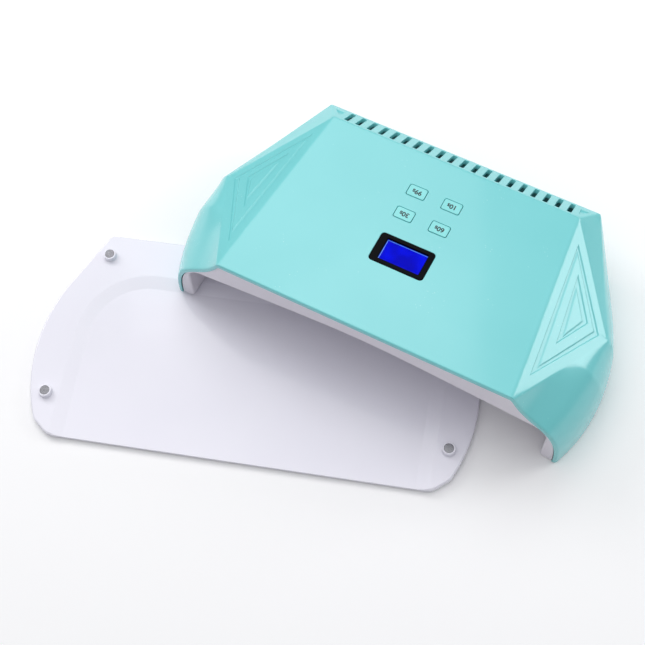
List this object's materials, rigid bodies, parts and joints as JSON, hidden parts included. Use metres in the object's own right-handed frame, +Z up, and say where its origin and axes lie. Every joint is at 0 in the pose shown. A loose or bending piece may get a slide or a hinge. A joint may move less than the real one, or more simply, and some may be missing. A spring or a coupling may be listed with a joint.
{
  "type": "nail lamp",
  "caption": "UV LED nail lamp for both hands: mint hood with keys and display, standing turned and half off its separate white magnetic base plate.",
  "frame": {"origin": "centre of the whole arrangement's bounding box, on the table", "axes": "+Z up; the hood's hand opening faces -Y and its back is at +Y; X runs across the hood. The plate lies turned 17.55 degrees about +Z under the hood's left side."},
  "size_m": [0.3492, 0.2752, 0.0724],
  "materials": {
    "plate_plastic": "gloss",
    "nickel": "polished nickel plating",
    "foot_rubber": "matt",
    "mint_plastic": "gloss",
    "liner_plastic": "gloss",
    "bezel_plastic": "gloss",
    "lcd_blue": "gloss",
    "lcd_frame": "satin",
    "board_green": "satin solder mask",
    "board_white": "white solder mask",
    "part_black": "satin",
    "capacitor_sleeve": "satin",
    "header_nylon": "satin",
    "screw_steel": "zinc plated",
    "pin_brass": "polished",
    "lamp_lens": "clear resin",
    "sensor_lens": "dark resin",
    "lead_black": "satin",
    "lead_red": "satin"
  },
  "bodies": {
    "base": {"base_plate": "plate_plastic", "plate_magnets": "nickel", "plate_feet": "foot_rubber"},
    "hood": {"top_cover": "mint_plastic", "inner_liner": "liner_plastic", "display_bezel": "bezel_plastic", "lcd_glass": "lcd_blue", "lcd_module": "lcd_frame", "control_board": "board_green", "key_switches": "part_black", "controller_chips": "part_black", "supply_capacitors": "capacitor_sleeve", "buzzer": "part_black", "wire_headers": "header_nylon", "board_screws": "screw_steel", "led_board_left": "board_white", "led_board_right": "board_white", "led_board_back": "board_white", "uv_leds": "lamp_lens", "sensor_windows": "sensor_lens", "hood_magnets": "nickel", "case_screws": "screw_steel", "dc_socket": "part_black", "dc_contact_pin": "pin_brass", "dc_lead": "lead_black", "led_lead_left": "lead_red", "led_lead_right": "lead_red"},
    "key_10s": {"button_10s": "mint_plastic"},
    "key_60s": {"button_60s": "mint_plastic"},
    "key_30s": {"button_30s": "mint_plastic"},
    "key_99s": {"button_99s": "mint_plastic"}
  },
  "joints": [
    {"name": "hood_lift", "type": "slide", "parent": "base", "child": "hood", "axis": [0, 0, 1], "range_m": [0, 0.12]},
    {"name": "key_10s_press", "type": "slide", "parent": "hood", "child": "key_10s", "axis": [-0.02, -0.0818, -0.9964], "range_m": [0, 0.0005], "stiffness_N_per_m": 300, "springref_m": -0.0005},
    {"name": "key_60s_press", "type": "slide", "parent": "hood", "child": "key_60s", "axis": [-0.02, -0.0818, -0.9964], "range_m": [0, 0.0005], "stiffness_N_per_m": 300, "springref_m": -0.0005},
    {"name": "key_30s_press", "type": "slide", "parent": "hood", "child": "key_30s", "axis": [-0.02, -0.0818, -0.9964], "range_m": [0, 0.0005], "stiffness_N_per_m": 300, "springref_m": -0.0005},
    {"name": "key_99s_press", "type": "slide", "parent": "hood", "child": "key_99s", "axis": [-0.02, -0.0818, -0.9964], "range_m": [0, 0.0005], "stiffness_N_per_m": 300, "springref_m": -0.0005}
  ]
}
